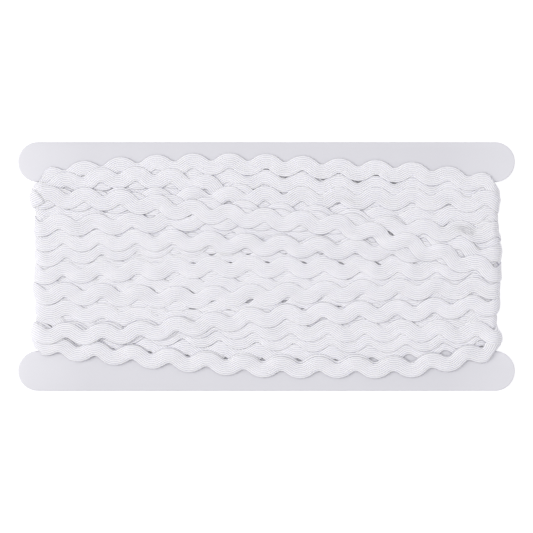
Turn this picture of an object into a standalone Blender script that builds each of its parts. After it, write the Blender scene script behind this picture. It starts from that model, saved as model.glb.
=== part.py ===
"""Ric rac trimming wound round a flat plastic card.

The card lies on the back of its winding, face up.
X runs along the card, Y across it, Z up. The origin is at the middle of the resting face.
"""

import math
from collections import namedtuple

import bmesh
import bpy

MM = 0.001

# Card
CARD_LENGTH = 185.0 * MM
CARD_WIDTH = 92.7 * MM
CARD_THICKNESS = 1.8 * MM
FLANGE_WIDTH = 14.9 * MM
WAIST_LENGTH = 168.0 * MM
RIM_BEVEL = 0.4 * MM
FLANGE_END_STEPS = 16
SHARP_ANGLE = math.radians(40)

# Winding
CARD_GAP = 0.35 * MM
BACK_THICKNESS = 3.0 * MM
BACK_HOLLOW = 0.7 * MM
BACK_RIM_THINNING = (1.5 * MM, 0.7 * MM)
TURN_SET_BACK = 0.4 * MM
END_TIGHTNESS = 0.82
SLACK_REACH = 22.0 * MM
WAIST_PINCH = 0.105
PINCH_REACH = 5.0 * MM
LEAST_BAND = 0.45 * MM
STEP_WIDTH = 0.2 * MM

# Wave of the ric rac
WAVE_PITCH = 13.5 * MM
WAVE_HEIGHT = 1.3 * MM
WAVE_FADE = 7.0 * MM
FRONT_STEPS_PER_WAVE = 7
BACK_STEPS_PER_WAVE = 4
END_STEPS = 4

# Bands that show on the front, from the top edge down, in millimetres.
# left, middle and right are where the band's lower edge lies across the card.
# crest is one wave crest's place along the card.
# upper and lower are how thick the winding is at the band's two edges.
Band = namedtuple("Band", "name left middle right crest upper lower")
TOP_EDGE = Band("top_edge", 34.4, 40.9, 34.1, 0.0, 0.0, 0.0)
BANDS = (
    Band("top_arch", 32.2, 35.4, 29.2, 0.0, 1.7, 2.3),
    Band("second", 29.6, 29.0, 25.9, -0.5, 1.5, 2.6),
    Band("third", 29.1, 22.5, 21.6, -0.5, 1.9, 2.7),
    Band("fan_one", 28.7, 21.8, 16.9, 4.8, 2.0, 2.8),
    Band("fan_two", 28.2, 21.2, 10.2, 2.6, 2.1, 3.1),
    Band("fan_three", 27.8, 20.7, 2.8, 4.9, 2.4, 3.0),
    Band("diagonal", 23.4, 15.3, -2.6, -0.3, 3.8, 3.9),
    Band("under_left", 18.1, 14.0, -3.2, 1.0, 2.2, 2.1),
    Band("fifth", 12.7, 12.3, -3.7, 4.9, 2.8, 3.0),
    Band("sixth", 7.1, 10.4, -4.2, 4.2, 2.3, 2.6),
    Band("seventh", 1.3, 3.9, -4.8, 5.9, 3.2, 3.3),
    Band("eighth", -5.8, -3.2, -6.6, -6.4, 2.7, 3.1),
    Band("gap_row", -8.6, -9.1, -7.2, -6.2, 2.1, 2.1),
    Band("ninth", -14.1, -15.4, -12.5, -6.0, 3.2, 3.0),
    Band("tenth", -22.1, -16.2, -13.2, -5.6, 2.3, 2.4),
    Band("rising", -27.5, -22.0, -18.1, -5.0, 3.4, 3.5),
    Band("eleventh", -28.1, -26.2, -25.1, -4.3, 2.5, 2.7),
    Band("twelfth", -28.7, -32.9, -27.7, -2.1, 2.0, 1.6),
    Band("bottom_arch", -33.1, -39.8, -32.6, 6.1, 2.4, 1.9),
)

# Places worked out from the sizes
HALF_WAIST = WAIST_LENGTH / 2
CARD_MIDDLE_Z = BACK_THICKNESS + CARD_GAP + CARD_THICKNESS / 2
INNER_RADIUS = CARD_THICKNESS / 2 + CARD_GAP
TURN_X = HALF_WAIST - TURN_SET_BACK


def clear_scene():
    """Remove what the scene holds at the start."""
    for thing in list(bpy.data.objects):
        bpy.data.objects.remove(thing, do_unlink=True)


def make_material(name, colour, roughness):
    """A plain principled material with the piece's own colour."""
    material = bpy.data.materials.new(name)
    material.use_nodes = True
    shader = material.node_tree.nodes["Principled BSDF"]
    shader.inputs["Base Color"].default_value = (*colour, 1.0)
    shader.inputs["Roughness"].default_value = roughness
    shader.inputs["Metallic"].default_value = 0.0
    return material


def add_object(name, bm, material):
    """Turn a bmesh into a named object with its material."""
    bmesh.ops.recalc_face_normals(bm, faces=bm.faces)
    mesh = bpy.data.meshes.new(name)
    bm.to_mesh(mesh)
    bm.free()
    mesh.materials.append(material)
    mesh.shade_smooth()
    mesh.set_sharp_from_angle(angle=SHARP_ANGLE)
    thing = bpy.data.objects.new(name, mesh)
    bpy.context.scene.collection.objects.link(thing)
    return thing


# Card with two round-ended flanges and a waist between them

def card_outline():
    """Points round the card: two flanges joined by the narrower waist."""
    radius = FLANGE_WIDTH / 2
    centre_x = CARD_LENGTH / 2 - radius
    centre_y = CARD_WIDTH / 2 - radius
    inner_y = CARD_WIDTH / 2 - FLANGE_WIDTH
    quarter = []
    for step in range(FLANGE_END_STEPS + 1):
        angle = math.pi / 2 - math.pi * step / FLANGE_END_STEPS
        quarter.append((centre_x + radius * math.cos(angle), centre_y + radius * math.sin(angle)))
    quarter.append((HALF_WAIST, inner_y))
    right = quarter + [(x, -y) for x, y in reversed(quarter)]
    return right + [(-x, y) for x, y in reversed(right)]


def build_card():
    """Flat plate with its rims slightly rounded."""
    bm = bmesh.new()
    bottom = CARD_MIDDLE_Z - CARD_THICKNESS / 2
    plate = bm.faces.new([bm.verts.new((x, y, bottom)) for x, y in card_outline()])
    raised = bmesh.ops.extrude_face_region(bm, geom=[plate])
    lifted = [item for item in raised["geom"] if isinstance(item, bmesh.types.BMVert)]
    bmesh.ops.translate(bm, verts=lifted, vec=(0.0, 0.0, CARD_THICKNESS))
    rims = [edge for edge in bm.edges if edge.verts[0].co.z == edge.verts[1].co.z]
    bmesh.ops.bevel(bm, geom=rims, offset=RIM_BEVEL, segments=2, profile=0.5, affect="EDGES", material=-1)
    plastic = make_material("card_plastic", (0.72, 0.71, 0.76), 0.4)
    return add_object("card", bm, plastic)


# Winding as one closed sleeve round the waist

Station = namedtuple("Station", "x angle")


def loop_stations():
    """Places round the sleeve: over the front, round the right edge, along the back, round the left."""
    front_steps = round(2 * TURN_X / WAVE_PITCH * FRONT_STEPS_PER_WAVE)
    back_steps = round(2 * TURN_X / WAVE_PITCH * BACK_STEPS_PER_WAVE)
    front = [Station(-TURN_X + 2 * TURN_X * i / front_steps, math.pi / 2) for i in range(front_steps + 1)]
    back = [Station(TURN_X - 2 * TURN_X * i / back_steps, -math.pi / 2) for i in range(back_steps + 1)]
    turns = [math.pi / 2 - math.pi * i / (END_STEPS + 1) for i in range(1, END_STEPS + 1)]
    right = [Station(TURN_X, angle) for angle in turns]
    left = [Station(-TURN_X, -angle) for angle in turns]
    return front + right + back + left


def is_front(station):
    return station.angle > math.pi / 2 - 0.001


def is_back(station):
    return station.angle < 0.001 - math.pi / 2


def through_three(along, left, middle, right):
    """Height at a place from -1 to 1 on the curve through three heights."""
    slope = (right - left) / 2
    bow = (right + left) / 2 - middle
    return middle + slope * along + bow * along * along


def even_place(index):
    """Where a band's edge lies at the middle of the back, evenly spread."""
    top = TOP_EDGE.middle
    bottom = BANDS[-1].middle
    return top + (bottom - top) * index / len(BANDS)


def leading_band(index):
    """The band that lies on top at an edge gives the edge its wave."""
    if index == 0:
        return BANDS[0]
    if index == len(BANDS):
        return BANDS[-1]
    above = BANDS[index - 1]
    below = BANDS[index]
    return above if above.lower >= below.upper else below


def edge_place(index, station):
    """Where one band edge crosses a station, measured across the card."""
    edge = TOP_EDGE if index == 0 else BANDS[index - 1]
    middle = even_place(index) if is_back(station) else edge.middle
    place = through_three(station.x / TURN_X, edge.left, middle, edge.right) * MM
    from_turn = TURN_X - abs(station.x)
    place *= 1.0 - WAIST_PINCH * math.exp(-from_turn / PINCH_REACH)
    if is_front(station) or is_back(station):
        swing = WAVE_HEIGHT * min(1.0, from_turn / WAVE_FADE)
        crest = leading_band(index).crest * MM
        place += swing * math.cos(2 * math.pi * (station.x - crest) / WAVE_PITCH)
    return place


def back_thickness(index):
    """Every other band rests on the surface, and the outermost ones are thinner."""
    from_rim = min(index, len(BANDS) - 1 - index)
    if from_rim < len(BACK_RIM_THINNING):
        return BACK_THICKNESS - BACK_RIM_THINNING[from_rim]
    return BACK_THICKNESS if index % 2 else BACK_THICKNESS - BACK_HOLLOW


def band_thickness(band, index, station):
    """Thickness of the winding at a band's upper and lower edge."""
    if is_back(station):
        return back_thickness(index), back_thickness(index)
    tightness = END_TIGHTNESS
    if is_front(station):
        from_turn = TURN_X - abs(station.x)
        tightness += (1.0 - END_TIGHTNESS) * min(1.0, from_turn / SLACK_REACH)
    return band.upper * MM * tightness, band.lower * MM * tightness


def wrapped_point(station, across, height):
    """Point at a height above the card's surface, on a face or round an edge."""
    reach = INNER_RADIUS + height
    outward = math.copysign(math.cos(station.angle), station.x)
    return (station.x + reach * outward, across, CARD_MIDDLE_Z + reach * math.sin(station.angle))


def ring_points(station):
    """One closed section through the winding, from its inner top corner round its outside."""
    edges = []
    for index in range(len(BANDS) + 1):
        place = edge_place(index, station)
        if edges:
            place = min(place, edges[-1] - LEAST_BAND)
        edges.append(place)
    points = [wrapped_point(station, edges[-1], 0.0), wrapped_point(station, edges[0], 0.0)]
    for index, band in enumerate(BANDS):
        upper, lower = band_thickness(band, index, station)
        points.append(wrapped_point(station, edges[index] - STEP_WIDTH / 2, upper))
        points.append(wrapped_point(station, edges[index + 1] + STEP_WIDTH / 2, lower))
    return points


def build_winding():
    """Loft the closed sections into a sleeve that goes round the waist."""
    bm = bmesh.new()
    rings = []
    for station in loop_stations():
        rings.append([bm.verts.new(point) for point in ring_points(station)])
    for ring, following in zip(rings, rings[1:] + rings[:1]):
        for i in range(len(ring)):
            j = (i + 1) % len(ring)
            bm.faces.new((ring[i], ring[j], following[j], following[i]))
    yarn = make_material("ric_rac_polyester", (0.83, 0.82, 0.87), 0.6)
    return add_object("winding", bm, yarn)


clear_scene()
build_card()
build_winding()
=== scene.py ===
"""Looks of a roll of ric rac: wavy trimming wound round a flat plastic card."""

import math
from collections import namedtuple

import bmesh
import bpy
import numpy as np
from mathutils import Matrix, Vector


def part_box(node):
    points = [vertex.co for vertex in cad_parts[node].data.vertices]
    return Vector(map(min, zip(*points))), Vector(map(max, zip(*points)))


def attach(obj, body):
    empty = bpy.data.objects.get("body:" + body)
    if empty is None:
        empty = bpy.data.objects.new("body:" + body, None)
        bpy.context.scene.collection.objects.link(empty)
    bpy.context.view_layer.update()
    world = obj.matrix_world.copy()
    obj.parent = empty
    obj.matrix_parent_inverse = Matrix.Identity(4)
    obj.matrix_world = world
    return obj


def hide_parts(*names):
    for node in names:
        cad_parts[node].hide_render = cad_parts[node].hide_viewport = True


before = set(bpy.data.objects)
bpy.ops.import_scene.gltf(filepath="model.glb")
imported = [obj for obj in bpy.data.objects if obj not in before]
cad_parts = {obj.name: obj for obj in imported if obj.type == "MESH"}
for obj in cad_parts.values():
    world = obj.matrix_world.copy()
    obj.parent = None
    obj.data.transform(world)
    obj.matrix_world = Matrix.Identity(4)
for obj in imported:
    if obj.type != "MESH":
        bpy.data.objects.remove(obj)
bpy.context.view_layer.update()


# Camera
# It looks straight down on the card, as the photograph does. The picture is as wide as
# 533 of the photograph's pixels, each 0.372 mm at the card's face.

PHOTO_SIDE = 533
PIXEL = 0.185 / 497
LENS = 100.0
SENSOR = 36.0

card_low, card_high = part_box("card")
view_width = PHOTO_SIDE * PIXEL
camera_data = bpy.data.cameras.new("camera")
camera_data.lens = LENS
camera_data.sensor_width = SENSOR
camera = bpy.data.objects.new("camera", camera_data)
camera.location = (0.0, 0.0, card_high[2] + view_width * LENS / SENSOR)
bpy.context.scene.collection.objects.link(camera)
bpy.context.scene.camera = camera


# Light
# A broad soft key from the left, low enough to draw each band's edge, and a bright pale
# surround that keeps the shadows light and faintly lavender.

def area_light(name, place, size, power, colour):
    """A square soft box aimed at the middle of the card."""
    data = bpy.data.lights.new(name, "AREA")
    data.shape = "SQUARE"
    data.size = size
    data.energy = power
    data.color = colour
    lamp = bpy.data.objects.new(name, data)
    lamp.location = place
    lamp.rotation_mode = "QUATERNION"
    lamp.rotation_quaternion = (-Vector(place)).to_track_quat("-Z", "Y")
    bpy.context.scene.collection.objects.link(lamp)


area_light("key_light", (-1.5, 0.2, 1.6), 1.4, 22.5, (1.0, 0.995, 0.985))
area_light("top_light", (0.2, 0.0, 2.4), 1.6, 13.0, (0.98, 0.98, 1.0))

surround = bpy.data.worlds.new("pale_surround")
surround.use_nodes = True
sky = surround.node_tree.nodes["Background"]
sky.inputs["Color"].default_value = (0.975, 0.97, 1.0, 1.0)
sky.inputs["Strength"].default_value = 0.53
bpy.context.scene.world = surround
bpy.context.scene.view_settings.view_transform = "Standard"


# Floor
# A plain pale sheet under the winding, wide enough to fill every view.

FLOOR_SIDE = 6.0

floor_mesh = bmesh.new()
bmesh.ops.create_grid(floor_mesh, x_segments=1, y_segments=1, size=FLOOR_SIDE / 2)
floor_data = bpy.data.meshes.new("floor")
floor_mesh.to_mesh(floor_data)
floor_mesh.free()
floor = bpy.data.objects.new("floor", floor_data)
bpy.context.scene.collection.objects.link(floor)
floor_paint = bpy.data.materials.new("floor_white")
floor_paint.use_nodes = True
floor_shader = floor_paint.node_tree.nodes["Principled BSDF"]
floor_shader.inputs["Base Color"].default_value = (0.55, 0.55, 0.56, 1.0)
floor_shader.inputs["Roughness"].default_value = 0.9
floor_shader.inputs["Emission Color"].default_value = (1.0, 1.0, 1.0, 1.0)
floor_shader.inputs["Emission Strength"].default_value = 0.6
floor_data.materials.append(floor_paint)


# Card
# One flat plate of pale moulded plastic with two round-ended flanges and a waist between
# them. Its rim is rounded over, and the faces are smooth with a soft satin shine.

CARD_LENGTH = card_high[0] - card_low[0]
CARD_WIDTH = card_high[1] - card_low[1]
CARD_THICKNESS = card_high[2] - card_low[2]
FLANGE_WIDTH = 0.0149
HALF_WAIST = 0.084
RIM_RADIUS = 0.0004
END_STEPS = 40


def card_plate():
    """Half a flange's outline is spun and mirrored, filled, raised and rounded at its rims."""
    radius = FLANGE_WIDTH / 2
    turn = Vector((CARD_LENGTH / 2 - radius, CARD_WIDTH / 2 - radius, 0.0))
    bm = bmesh.new()
    start = bm.verts.new(turn + Vector((0.0, radius, 0.0)))
    bmesh.ops.spin(bm, geom=[start], cent=turn, axis=(0, 0, 1), angle=-math.pi, steps=END_STEPS)
    last = min(bm.verts, key=lambda vert: vert.co.y)
    for place in ((HALF_WAIST, last.co.y, 0.0), (HALF_WAIST, 0.0, 0.0)):
        corner = bm.verts.new(place)
        bm.edges.new((last, corner))
        last = corner
    corner = bm.verts.new((0.0, CARD_WIDTH / 2, 0.0))
    bm.edges.new((start, corner))
    for axis in ("Y", "X"):
        bmesh.ops.mirror(bm, geom=bm.verts[:] + bm.edges[:], axis=axis, merge_dist=0.00001)
    bmesh.ops.remove_doubles(bm, verts=bm.verts, dist=0.00001)
    plate = bmesh.ops.contextual_create(bm, geom=bm.edges[:])["faces"]
    raised = bmesh.ops.extrude_face_region(bm, geom=plate)["geom"]
    lifted = [item for item in raised if isinstance(item, bmesh.types.BMVert)]
    bmesh.ops.translate(bm, verts=lifted, vec=(0.0, 0.0, CARD_THICKNESS))
    bmesh.ops.translate(bm, verts=bm.verts, vec=(0.0, 0.0, card_low[2]))
    rims = [edge for edge in bm.edges if abs(edge.verts[0].co.z - edge.verts[1].co.z) < 0.00001]
    bmesh.ops.bevel(bm, geom=rims, offset=RIM_RADIUS, segments=5, profile=0.5, affect="EDGES", material=-1)
    bmesh.ops.recalc_face_normals(bm, faces=bm.faces)
    return bm


def moulded_plastic():
    """Smooth pale plastic with a very fine skin, with painted light making it lighter towards the flange
    ends.
    """
    material = bpy.data.materials.new("card_plastic")
    material.use_nodes = True
    nodes = material.node_tree.nodes
    links = material.node_tree.links
    shader = nodes["Principled BSDF"]
    shader.inputs["IOR"].default_value = 1.49
    place = nodes.new("ShaderNodeTexCoord")
    mottle = nodes.new("ShaderNodeTexNoise")
    mottle.inputs["Scale"].default_value = 45.0
    mottle.inputs["Detail"].default_value = 4.0
    tint = nodes.new("ShaderNodeMixRGB")
    tint.inputs["Color1"].default_value = (0.685, 0.68, 0.715, 1.0)
    tint.inputs["Color2"].default_value = (0.705, 0.70, 0.735, 1.0)
    split = nodes.new("ShaderNodeSeparateXYZ")
    from_middle = nodes.new("ShaderNodeMath")
    from_middle.operation = "ABSOLUTE"
    # Painted light: towards the flange ends the plastic's colour is lightened, in place of light falling
    # through and round the ends.
    end_light_ramp = nodes.new("ShaderNodeMapRange")
    end_light_ramp.inputs["From Min"].default_value = 0.066
    end_light_ramp.inputs["From Max"].default_value = 0.092
    painted_end_light = nodes.new("ShaderNodeMixRGB")
    painted_end_light.inputs["Color2"].default_value = (0.76, 0.755, 0.79, 1.0)
    shine = nodes.new("ShaderNodeMapRange")
    shine.inputs["To Min"].default_value = 0.34
    shine.inputs["To Max"].default_value = 0.46
    skin = nodes.new("ShaderNodeTexNoise")
    skin.inputs["Scale"].default_value = 900.0
    skin.inputs["Detail"].default_value = 3.0
    bump = nodes.new("ShaderNodeBump")
    bump.inputs["Strength"].default_value = 0.12
    bump.inputs["Distance"].default_value = 0.00008
    links.new(place.outputs["Object"], mottle.inputs["Vector"])
    links.new(place.outputs["Object"], skin.inputs["Vector"])
    links.new(mottle.outputs["Fac"], tint.inputs["Fac"])
    links.new(mottle.outputs["Fac"], shine.inputs["Value"])
    links.new(place.outputs["Object"], split.inputs["Vector"])
    links.new(split.outputs["X"], from_middle.inputs[0])
    links.new(from_middle.outputs["Value"], end_light_ramp.inputs["Value"])
    links.new(end_light_ramp.outputs["Result"], painted_end_light.inputs["Fac"])
    links.new(tint.outputs["Color"], painted_end_light.inputs["Color1"])
    links.new(painted_end_light.outputs["Color"], shader.inputs["Base Color"])
    links.new(shine.outputs["Result"], shader.inputs["Roughness"])
    links.new(skin.outputs["Fac"], bump.inputs["Height"])
    links.new(bump.outputs["Normal"], shader.inputs["Normal"])
    return material


def add_piece(name, mesh, material):
    """Link a finished mesh as a piece of the object, riding on its one body."""
    mesh.materials.append(material)
    piece = bpy.data.objects.new(name, mesh)
    bpy.context.scene.collection.objects.link(piece)
    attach(piece, "root")
    return piece


card_bmesh = card_plate()
card_data = bpy.data.meshes.new("card_plate")
card_bmesh.to_mesh(card_data)
card_bmesh.free()
card_data.shade_smooth()
card_data.set_sharp_from_angle(angle=math.radians(50))
card_plate_piece = add_piece("card_plate", card_data, moulded_plastic())
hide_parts("card")


# Ric rac
# One long braided polyester tape, 8 mm over its waves, wound lengthwise round the waist.
# The hidden turns are laid first, then the turns that show, each on top of what is there.

TAPE_WIDTH = 0.0056
TAPE_THICKNESS = 0.00095
HIDDEN_PRESSED = 0.00045
SHOWN_PRESSED = 0.00074
RIB_COUNT = 8
RIB_HEIGHT = 0.00018
WAVE_PITCH = 0.0135
WAVE_SWING = 0.0015
WAVE_ROUNDNESS = 0.045
WAVE_STEPS = 14

CARD_GAP = 0.00035
INNER_RADIUS = CARD_THICKNESS / 2 + CARD_GAP
CARD_MIDDLE_Z = (card_low[2] + card_high[2]) / 2
TURN_X = 0.0836
FACE_RUN = 2 * TURN_X
MEAN_BUILD = 0.0016
TURN_RUN = math.pi * (INNER_RADIUS + MEAN_BUILD)
LOOP_RUN = 2 * (FACE_RUN + TURN_RUN)
BACK_DEPTH = CARD_MIDDLE_Z - INNER_RADIUS
NOTCH_ROOM = 0.0284
PINCH_REACH = 0.0011
NOTCH_EDGE = 0.0311
NOTCH_OPENING = 1.9
END_TIGHTNESS = 0.95
SLACK_REACH = 0.016

# Where each turn's middle line lies at seven even places along the front, in millimetres
# from the card's middle, and where one or two of its crests lie along the card. They are
# laid in this order, the last on top.
Turn = namedtuple("Turn", "name heights crests")
SHOWN_TURNS = (
    Turn("tuck", (26.2, 27.8, 28.9, 29.2, 28.4, 27.2, 26.2), (3.2,)),
    Turn("second", (30.7, 32.2, 33.0, 31.8, 29.7, 28.8, 27.2), (-0.5,)),
    Turn("top_arch", (33.6, 36.4, 37.9, 37.9, 36.2, 34.7, 30.9), (-81.2, 81.3)),
    Turn("diving", (29.6, 32.8, 31.1, 24.0, 19.5, 17.7, 20.3), (-74.6, 69.0)),
    Turn("third", (24.8, 25.1, 25.3, 25.5, 25.4, 25.3, 24.2), (-0.5,)),
    Turn("under_left", (20.7, 18.6, 15.9, 12.8, 10.7, 9.3, 8.4), (1.3,)),
    Turn("gap_row", (-7.3, -6.8, -6.5, -6.5, -5.9, -5.2, -4.7), (-2.9,)),
    Turn("tenth", (-15.8, -18.2, -20.6, -18.6, -17.1, -16.2, -14.3), (-60.5, 75.7)),
    Turn("above_bottom", (-27.4, -29.2, -31.6, -32.8, -32.9, -30.5, -27.4), (-43.4, 79.8)),
    Turn("twelfth", (-24.8, -24.8, -25.5, -27.0, -28.1, -27.9, -25.9), (-44.9, 79.5)),
    Turn("under_bottom", (-29.6, -32.5, -35.0, -36.6, -36.6, -36.2, -30.6), (-63.5, 74.6)),
    Turn("bottom_arch", (-30.2, -33.1, -35.7, -37.3, -37.2, -36.9, -31.6), (-63.5, 74.6)),
    Turn("eleventh", (-24.5, -24.2, -22.3, -23.1, -23.7, -23.8, -25.1), (-18.4, 78.0)),
    Turn("rising", (-24.8, -24.8, -21.8, -18.4, -17.1, -16.2, -14.3), (-74.3, 75.7)),
    Turn("ninth", (-9.9, -10.6, -11.4, -10.4, -9.3, -8.8, -8.1), (-74.6, 76.9)),
    Turn("eighth", (-2.6, -1.6, -0.2, 0.0, -0.6, -1.1, -1.1), (-75.4, 76.9)),
    Turn("seventh", (4.1, 6.5, 8.0, 8.1, 7.6, 7.4, 7.6), (5.8,)),
    Turn("sixth", (9.9, 9.8, 9.1, 7.6, 6.5, 5.5, 3.9), (6.1,)),
    Turn("fan", (25.1, 23.7, 22.1, 20.3, 18.2, 13.0, 3.2), (5.0,)),
    Turn("fifth", (15.4, 16.0, 16.9, 17.1, 15.8, 13.6, 12.5), (5.0,)),
    Turn("diagonal", (26.4, 24.6, 20.7, 17.7, 15.1, 7.6, -1.3), (-0.5,)),
)
PLACES = 7
HIDDEN_TURNS = 12
EDGE_ROW = 30.0
FACE_BULGE = 0.17
END_SPREAD = 0.72
ROW_STRAY = 0.5
CREST_STRAY = 0.9
LAST_END = 0.06

chance = np.random.default_rng(7)


def hidden_turns(count):
    """Evenly spread turns laid on the bare card from top to bottom, their waves nested."""
    turns = []
    for index in range(count):
        row = EDGE_ROW * (1 - 2 * (index + 0.5) / count)
        spread = END_SPREAD + (1 + FACE_BULGE - END_SPREAD) * np.sin(np.linspace(0.0, math.pi, PLACES))
        heights = row * spread + chance.uniform(-ROW_STRAY, ROW_STRAY, PLACES)
        turns.append(Turn("hidden", heights, (chance.uniform(-CREST_STRAY, CREST_STRAY),)))
    return turns


def smooth_along(values, reach):
    """Gaussian smoothing of a run of values, its ends held."""
    half = int(3 * reach)
    kernel = np.exp(-0.5 * (np.arange(-half, half + 1) / reach) ** 2)
    padded = np.concatenate([np.full(half, values[0]), values, np.full(half, values[-1])])
    return np.convolve(padded, kernel / kernel.sum(), mode="valid")


def drift(count, reach, size):
    """A slow random wandering along the tape."""
    wander = smooth_along(chance.standard_normal(count), reach)
    return size * wander / max(wander.std(), 1e-9)


# The route's points lie ROUTE_STEP apart. Its reaches are counted in such steps.
ROUTE_STEP = 0.0005
ROUTE_EASING = 3.0
WANDER_REACH = 40.0
WANDER = 0.00022
SWING_STRAY = 0.05


def front_height(turn, x):
    """Height of a turn's middle line over the front, on a smooth curve through its places."""
    heights = np.array(turn.heights) / 1000
    slopes = np.gradient(heights)
    step = (np.clip(x / TURN_X, -1.0, 1.0) + 1) * (PLACES - 1) / 2
    low = np.minimum(np.floor(step).astype(int), PLACES - 2)
    part = step - low
    rest = 1 - part
    height = heights[low] * rest * rest * (1 + 2 * part) + heights[low + 1] * part * part * (1 + 2 * rest)
    height += slopes[low] * part * rest * rest - slopes[low + 1] * part * part * rest
    over = np.clip(np.abs(height) - NOTCH_ROOM, 0.0, None) * np.exp((np.abs(x) - TURN_X) / PINCH_REACH)
    return height - np.sign(height) * over


def tape_route(turns):
    """Middle line of the whole tape on the unrolled loop, and the loop places of its anchor crests."""
    steps = round(LOOP_RUN / ROUTE_STEP)
    along = np.arange(steps) * LOOP_RUN / steps
    across = []
    for index, turn in enumerate(turns):
        following = turns[min(index + 1, len(turns) - 1)]
        end_height = front_height(turn, TURN_X)
        next_height = front_height(following, -TURN_X)
        row = np.full(steps, next_height)
        front = along <= FACE_RUN
        row[front] = front_height(turn, along[front] - TURN_X)
        row[(along > FACE_RUN) & (along < FACE_RUN + TURN_RUN)] = end_height
        back = (along >= FACE_RUN + TURN_RUN) & (along <= 2 * FACE_RUN + TURN_RUN)
        share = (along[back] - FACE_RUN - TURN_RUN) / FACE_RUN
        ease = share * share * (3 - 2 * share)
        straight = end_height + (next_height - end_height) * ease
        row[back] = straight * (1 + FACE_BULGE * 4 * share * (1 - share))
        across.append(row)
    across = smooth_along(np.concatenate(across), ROUTE_EASING)
    along = (along[None, :] + LOOP_RUN * np.arange(len(turns))[:, None]).ravel()
    crests = []
    for loop, turn in enumerate(turns):
        crests += [LOOP_RUN * loop + TURN_X + crest / 1000 for crest in turn.crests]
    wound_on = along < LOOP_RUN * len(turns) - TURN_RUN - LAST_END
    along, across = along[wound_on], across[wound_on]
    return along, across + drift(len(across), WANDER_REACH, WANDER), crests


def waved_rings(turns, wave_steps):
    """Middle points and cross directions of the tape, its waves counted from crest to crest."""
    along, across, crests = tape_route(turns)
    travel = np.concatenate([[0.0], np.cumsum(np.hypot(np.diff(along), np.diff(across)))])
    crest_travel = np.interp(crests, along, travel)
    counts = np.concatenate([[0], np.cumsum(np.round(np.diff(crest_travel) / WAVE_PITCH))])
    lead_in = crest_travel[0] / WAVE_PITCH
    lead_out = (travel[-1] - crest_travel[-1]) / WAVE_PITCH
    knots = np.concatenate([[0.0], crest_travel, [travel[-1]]])
    waves = np.concatenate([[-lead_in], counts, [counts[-1] + lead_out]])
    first = math.ceil(waves[0] * wave_steps)
    last = math.floor(waves[-1] * wave_steps)
    wave = np.arange(first, last + 1) / wave_steps
    at = np.interp(wave, waves, knots)
    u = np.interp(at, travel, along)
    y = np.interp(at, travel, across)
    rounded = np.cos(2 * math.pi * wave) - WAVE_ROUNDNESS * np.cos(6 * math.pi * wave)
    swing = WAVE_SWING * (1 + drift(len(wave), 2.0 * wave_steps, SWING_STRAY)) * rounded
    slope_u, slope_y = unit_slopes(u, y)
    u, y = u - slope_y * swing, y + slope_u * swing
    slope_u, slope_y = unit_slopes(u, y)
    return u, y, -slope_y, slope_u, at


def unit_slopes(u, y):
    """Direction of travel along a line of points."""
    du, dy = np.gradient(u), np.gradient(y)
    length = np.hypot(du, dy)
    return du / length, dy / length


def distance_from_end(u):
    """How far places on the loop lie from the middle of the nearer end turn."""
    return np.abs((u - FACE_RUN - TURN_RUN / 2 + LOOP_RUN / 4) % (LOOP_RUN / 2) - LOOP_RUN / 4)


HELD_SHARE = 0.36
NOTCH_SOFTNESS = 0.0005


def held_in_notch(u, y):
    """Round the waist's ends the tape's edges stay between the two flanges."""
    opening = NOTCH_OPENING * np.clip(distance_from_end(u) - HELD_SHARE * TURN_RUN, 0.0, None)
    limit = NOTCH_EDGE + opening
    room = (limit - np.abs(y)) / NOTCH_SOFTNESS
    return np.sign(y) * (limit - NOTCH_SOFTNESS * np.logaddexp(0.0, room))


# Heights of what has been wound so far, on a grid over the unrolled loop
GRID_STEP = 0.0004
GRID_HALF_WIDTH = 0.048
SPAN_ALONG, SPAN_ACROSS = 4.0, 2.2
SOFTEN_ALONG, SOFTEN_ACROSS = 1.6, 1.0
SINK = 0.00022
FILL_STEPS = 5

grid_columns = round(LOOP_RUN / GRID_STEP)
grid_rows = round(2 * GRID_HALF_WIDTH / GRID_STEP)
wound = np.zeros((grid_columns, grid_rows))


def shifted(grid, step, axis):
    """The grid moved by whole cells: it goes round along the loop, and its sides are held."""
    if axis == 0:
        return np.roll(grid, step, axis=0)
    padded = np.pad(grid, ((0, 0), (abs(step), abs(step))), mode="edge")
    start = abs(step) - step
    return padded[:, start:start + grid.shape[1]]


def softened(grid, reaches):
    """The grid blurred along the loop and across it."""
    for axis, reach in enumerate(reaches):
        half = int(2.5 * reach)
        weights = np.exp(-0.5 * (np.arange(-half, half + 1) / reach) ** 2)
        weights /= weights.sum()
        grid = sum(w * shifted(grid, step, axis) for w, step in zip(weights, range(-half, half + 1)))
    return grid


def draped(grid):
    """Surface that a taut tape takes: it spans the hollows and sinks a little into the ridges."""
    spanned = np.maximum(softened(grid, (SPAN_ALONG, SPAN_ACROSS)), grid - SINK)
    return softened(spanned, (SOFTEN_ALONG, SOFTEN_ACROSS))


def read_grid(grid, u, y):
    """Heights at places on the grid, between its cells."""
    column = (u / GRID_STEP) % grid_columns
    row = np.clip((y + GRID_HALF_WIDTH) / GRID_STEP, 0, grid_rows - 1.001)
    c0, r0 = np.floor(column).astype(int), np.floor(row).astype(int)
    fc, fr = column - c0, row - r0
    c0 %= grid_columns
    c1 = (c0 + 1) % grid_columns
    low = grid[c0, r0] * (1 - fc) + grid[c1, r0] * fc
    high = grid[c0, r0 + 1] * (1 - fc) + grid[c1, r0 + 1] * fc
    return low * (1 - fr) + high * fr


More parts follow.
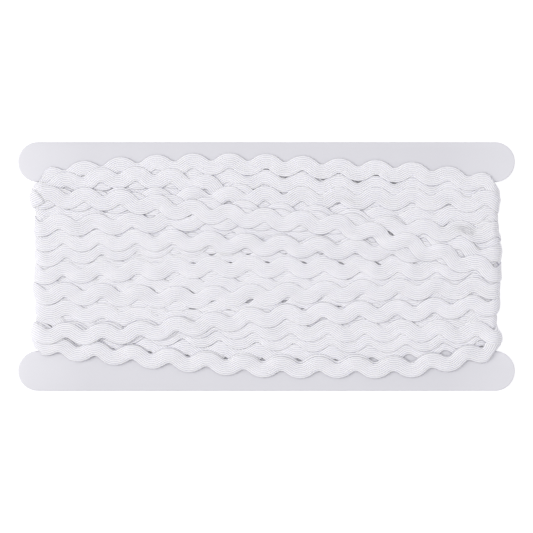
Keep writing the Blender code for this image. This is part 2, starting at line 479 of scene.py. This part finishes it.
def press_into(grid, u, y, height):
    """Raise the wound heights to a stretch of tape, filled in finely between its rings."""
    for part in np.linspace(0.0, 1.0, FILL_STEPS, endpoint=False):
        uu = u[:-1] * (1 - part) + u[1:] * part
        yy = y[:-1] * (1 - part) + y[1:] * part
        hh = height[:-1] * (1 - part) + height[1:] * part
        column = np.round(uu / GRID_STEP).astype(int) % grid_columns
        row = np.clip(np.round((yy + GRID_HALF_WIDTH) / GRID_STEP).astype(int), 0, grid_rows - 1)
        np.maximum.at(grid, (column, row), hh)


def lay_tape(u, y):
    """Height of the tape's underside at every point, each half turn laid on all before it."""
    base = np.zeros_like(u)
    middle = u[:, u.shape[1] // 2]
    half_turn = np.floor(middle / (LOOP_RUN / 2)).astype(int)
    tail = WAVE_STEPS // 2
    waiting = None
    for number in range(half_turn[0], half_turn[-1] + 1):
        rings = np.flatnonzero(half_turn == number)
        if not len(rings):
            continue
        start, stop = rings[0], rings[-1] + 1
        pressed = HIDDEN_PRESSED if number < 2 * HIDDEN_TURNS else SHOWN_PRESSED
        surface = draped(wound)
        base[start:stop] = read_grid(surface, u[start:stop], y[start:stop])
        if waiting is not None:
            lower = slice(waiting, start + 1)
            press_into(wound, u[lower], y[lower], base[lower] + pressed)
        body = slice(start, stop - tail)
        press_into(wound, u[body], y[body], base[body] + pressed)
        waiting = stop - tail - 1
    return base


FREE_SHARE = 0.7


def settle_back(height):
    """On the back the tape is pressed flat by the surface it rests on."""
    free = BACK_DEPTH * FREE_SHARE
    spare = BACK_DEPTH - free
    return np.where(height < free, height, free + spare * (1 - np.exp(-(height - free) / spare)))


def wrap_round_card(u, y, height):
    """Place points of the unrolled loop on the card's faces and round its waist edges."""
    u = u % LOOP_RUN
    slack = np.clip((distance_from_end(u) - TURN_RUN / 2) / SLACK_REACH, 0.0, 1.0)
    height = height * (END_TIGHTNESS + (1 - END_TIGHTNESS) * slack * slack * (3 - 2 * slack))
    right = np.clip((u - FACE_RUN) / TURN_RUN, 0.0, 1.0)
    left = np.clip((u - 2 * FACE_RUN - TURN_RUN) / TURN_RUN, 0.0, 1.0)
    front_x = np.clip(u, 0.0, FACE_RUN) - TURN_X
    back_x = np.clip(u - FACE_RUN - TURN_RUN, 0.0, FACE_RUN)
    x = front_x - back_x
    angle = math.pi / 2 - math.pi * (right + left)
    flattened = settle_back(height)
    share = np.clip((1 - np.sin(angle)) / 2, 0.0, 1.0)
    reach = INNER_RADIUS + height * (1 - share) + flattened * share
    return np.stack([x + reach * np.cos(angle), y, CARD_MIDDLE_Z + reach * np.sin(angle)], axis=-1)


EDGE_ROUNDING = 2.8
EDGE_RISE = 0.35


def cross_section(columns):
    """Tape thickness across its width: raised ribs, rounded off at both edges."""
    v = np.linspace(-1.0, 1.0, columns)
    edge = np.sqrt(np.clip(1 - np.abs(v) ** EDGE_ROUNDING, 0.0, 1.0))
    rib_place = (v + 1) / 2 * RIB_COUNT
    rib = np.sqrt(np.abs(np.sin(math.pi * rib_place)))
    rise = (TAPE_THICKNESS - RIB_HEIGHT) * (EDGE_RISE + (1 - EDGE_RISE) * edge)
    return v, rise + RIB_HEIGHT * rib * edge


def tape_blank(rings, columns):
    """Flat strip with a thickness: its long edges are turned down and joined underneath."""
    bm = bmesh.new()
    bmesh.ops.create_grid(bm, x_segments=rings - 1, y_segments=columns - 1, size=1.0)
    long_edges = []
    for edge in bm.edges:
        if edge.is_boundary and edge.verts[0].co.y * edge.verts[1].co.y > 0.999:
            long_edges.append(edge)
    turned = bmesh.ops.extrude_edge_only(bm, edges=long_edges)["geom"]
    lower = [item for item in turned if isinstance(item, bmesh.types.BMVert)]
    bmesh.ops.translate(bm, verts=lower, vec=(0.0, 0.0, -1.0))
    under = [edge for edge in bm.edges if edge.verts[0].co.z < -0.5 and edge.verts[1].co.z < -0.5]
    bmesh.ops.bridge_loops(bm, edges=under)
    bmesh.ops.holes_fill(bm, edges=bm.edges, sides=0)
    bmesh.ops.recalc_face_normals(bm, faces=bm.faces)
    return bm


def tape_piece(name, rings, material):
    """Bend a blank strip into one stretch of the wound tape."""
    u, y, base, at, profile = rings
    bm = tape_blank(*u.shape)
    mesh = bpy.data.meshes.new(name)
    bm.to_mesh(mesh)
    bm.free()
    flat = np.empty(len(mesh.vertices) * 3)
    mesh.vertices.foreach_get("co", flat)
    flat = flat.reshape(-1, 3)
    ring = np.round((flat[:, 0] + 1) / 2 * (u.shape[0] - 1)).astype(int)
    column = np.round((flat[:, 1] + 1) / 2 * (u.shape[1] - 1)).astype(int)
    thick = np.where(flat[:, 2] < -0.5, 0.0, profile[column])
    points = wrap_round_card(u[ring, column], y[ring, column], base[ring, column] + thick)
    mesh.vertices.foreach_set("co", points.astype(np.float32).ravel())
    corner = np.empty(len(mesh.loops), dtype=np.int32)
    mesh.loops.foreach_get("vertex_index", corner)
    threads = np.stack([at[ring[corner]] * 1000, flat[corner, 1] * RIB_COUNT / 2], axis=-1)
    layer = mesh.uv_layers.new(name="threads")
    layer.uv.foreach_set("vector", threads.astype(np.float32).ravel())
    mesh.update()
    mesh.shade_smooth()
    piece = add_piece(name, mesh, material)
    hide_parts("winding")


THREADS_PER_MM = 1.55


def braided_yarn():
    """White polyester braid: ribs along the tape, each of fine slanted threads, softly lustrous, with
    painted shade in the grooves between the ribs.
    """
    material = bpy.data.materials.new("ric_rac_yarn")
    material.use_nodes = True
    nodes = material.node_tree.nodes
    links = material.node_tree.links
    shader = nodes["Principled BSDF"]

    def reckon(operation, first, second=0.0):
        node = nodes.new("ShaderNodeMath")
        node.operation = operation
        for socket, value in zip(node.inputs, (first, second)):
            if isinstance(value, float):
                socket.default_value = value
            else:
                links.new(value, socket)
        return node.outputs["Value"]

    threads = nodes.new("ShaderNodeUVMap")
    threads.uv_map = "threads"
    split = nodes.new("ShaderNodeSeparateXYZ")
    links.new(threads.outputs["UV"], split.inputs["Vector"])
    length, ribs = split.outputs["X"], split.outputs["Y"]

    rib_round = reckon("ABSOLUTE", reckon("SINE", reckon("MULTIPLY", ribs, math.pi)))
    groove = reckon("POWER", reckon("SUBTRACT", 1.0, rib_round), 2.0)
    side = reckon("SUBTRACT", reckon("FLOORED_MODULO", ribs, 2.0), 1.0)
    slant = reckon("ADD", reckon("MULTIPLY", length, THREADS_PER_MM), reckon("ABSOLUTE", side))
    stroke = reckon("ABSOLUTE", reckon("SINE", reckon("MULTIPLY", slant, math.pi)))
    height = reckon("ADD", reckon("MULTIPLY", rib_round, 0.7), reckon("MULTIPLY", stroke, 0.3))

    fibres = nodes.new("ShaderNodeTexNoise")
    fibres.inputs["Scale"].default_value = 2600.0
    fibres.inputs["Detail"].default_value = 3.0
    place = nodes.new("ShaderNodeTexCoord")
    links.new(place.outputs["Object"], fibres.inputs["Vector"])
    height = reckon("ADD", height, reckon("MULTIPLY", fibres.outputs["Fac"], 0.25))

    patches = nodes.new("ShaderNodeTexNoise")
    patches.inputs["Scale"].default_value = 150.0
    patches.inputs["Detail"].default_value = 3.0
    links.new(place.outputs["Object"], patches.inputs["Vector"])
    tint = nodes.new("ShaderNodeMixRGB")
    tint.inputs["Color1"].default_value = (0.90, 0.89, 0.93, 1.0)
    tint.inputs["Color2"].default_value = (0.95, 0.945, 0.97, 1.0)
    links.new(patches.outputs["Fac"], tint.inputs["Fac"])
    # Painted shade: the grooves between the ribs are darkened towards a faint lavender, more strongly in
    # some patches than in others.
    shade = nodes.new("ShaderNodeMixRGB")
    shade.blend_type = "MULTIPLY"
    shade.inputs["Color2"].default_value = (0.50, 0.50, 0.56, 1.0)
    links.new(tint.outputs["Color"], shade.inputs["Color1"])
    groove_shade_patchiness = reckon("ADD", reckon("MULTIPLY", patches.outputs["Fac"], 1.5), 0.1)
    links.new(reckon("MULTIPLY", groove, groove_shade_patchiness), shade.inputs["Fac"])
    links.new(shade.outputs["Color"], shader.inputs["Base Color"])

    bump = nodes.new("ShaderNodeBump")
    bump.inputs["Strength"].default_value = 0.7
    bump.inputs["Distance"].default_value = 0.00012
    links.new(height, bump.inputs["Height"])
    links.new(bump.outputs["Normal"], shader.inputs["Normal"])
    shader.inputs["Roughness"].default_value = 0.55
    shader.inputs["Sheen Weight"].default_value = 0.2
    shader.inputs["Sheen Roughness"].default_value = 0.4
    shader.inputs["Subsurface Weight"].default_value = 0.35
    shader.inputs["Subsurface Radius"].default_value = (1.0, 1.0, 1.1)
    shader.inputs["Subsurface Scale"].default_value = 0.0007
    return material


turns = hidden_turns(HIDDEN_TURNS) + list(SHOWN_TURNS)

ring_u, ring_y, cross_u, cross_y, ring_at = waved_rings(turns, WAVE_STEPS)
tape_v, tape_profile = cross_section(3 * RIB_COUNT + 1)
offset = tape_v * TAPE_WIDTH / 2
tape_u = ring_u[:, None] + cross_u[:, None] * offset
tape_y = held_in_notch(tape_u, ring_y[:, None] + cross_y[:, None] * offset)
tape_base = lay_tape(tape_u, tape_y)
yarn = braided_yarn()

PIECE_TURNS = 8
piece_number = np.floor(ring_u / (LOOP_RUN * PIECE_TURNS)).astype(int)
for number in range(piece_number[0], piece_number[-1] + 1):
    chosen = np.flatnonzero(piece_number == number)
    stretch = slice(chosen[0], chosen[-1] + 2)
    rings = (tape_u[stretch], tape_y[stretch], tape_base[stretch], ring_at[stretch], tape_profile)
    tape_piece(f"ric_rac_{number + 1}", rings, yarn)
